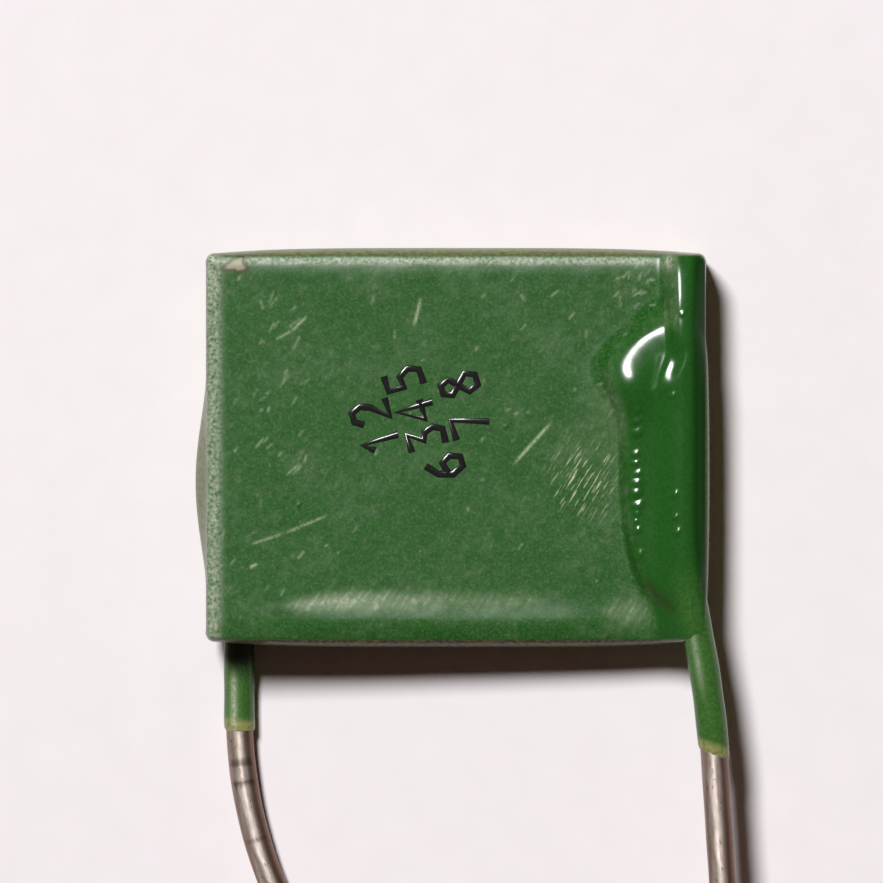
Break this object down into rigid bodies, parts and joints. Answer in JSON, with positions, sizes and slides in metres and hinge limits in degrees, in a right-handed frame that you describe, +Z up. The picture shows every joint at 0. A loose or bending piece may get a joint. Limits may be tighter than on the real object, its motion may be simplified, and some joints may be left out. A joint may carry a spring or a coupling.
{
  "type": "square ceramic capacitor",
  "caption": "Flat rectangular ceramic capacitor dipped in glossy lacquer, with a soldered wire behind one end and in front of the other.",
  "frame": {"origin": "under the middle of the part's box, on the surface it lies on", "axes": "+Y from the wires' free ends towards the lacquered body, +X to the right of its front face, +Z up through the front face"},
  "size_m": [0.0128, 0.0285, 0.0024],
  "materials": {
    "lacquer": "glossy dipped green lacquer, slightly speckled, worn at the edges",
    "ceramic": "fired matt ceramic",
    "silver": "fired matt silver paste",
    "solder": "satin tin and lead solder",
    "wire": "tinned copper wire, dulled and stained with age",
    "electrode": "fired metal paste"
  },
  "bodies": {
    "root": {"lacquer_coat": "lacquer", "ceramic_block": "ceramic", "left_termination": "silver", "right_termination": "silver", "left_solder": "solder", "right_solder": "solder", "left_lead": "wire", "right_lead": "wire", "left_electrode_1": "electrode", "right_electrode_1": "electrode", "left_electrode_2": "electrode", "right_electrode_2": "electrode", "left_electrode_3": "electrode", "right_electrode_3": "electrode", "left_electrode_4": "electrode", "right_electrode_4": "electrode", "left_electrode_5": "electrode", "right_electrode_5": "electrode", "left_electrode_6": "electrode", "right_electrode_6": "electrode"}
  },
  "joints": []
}
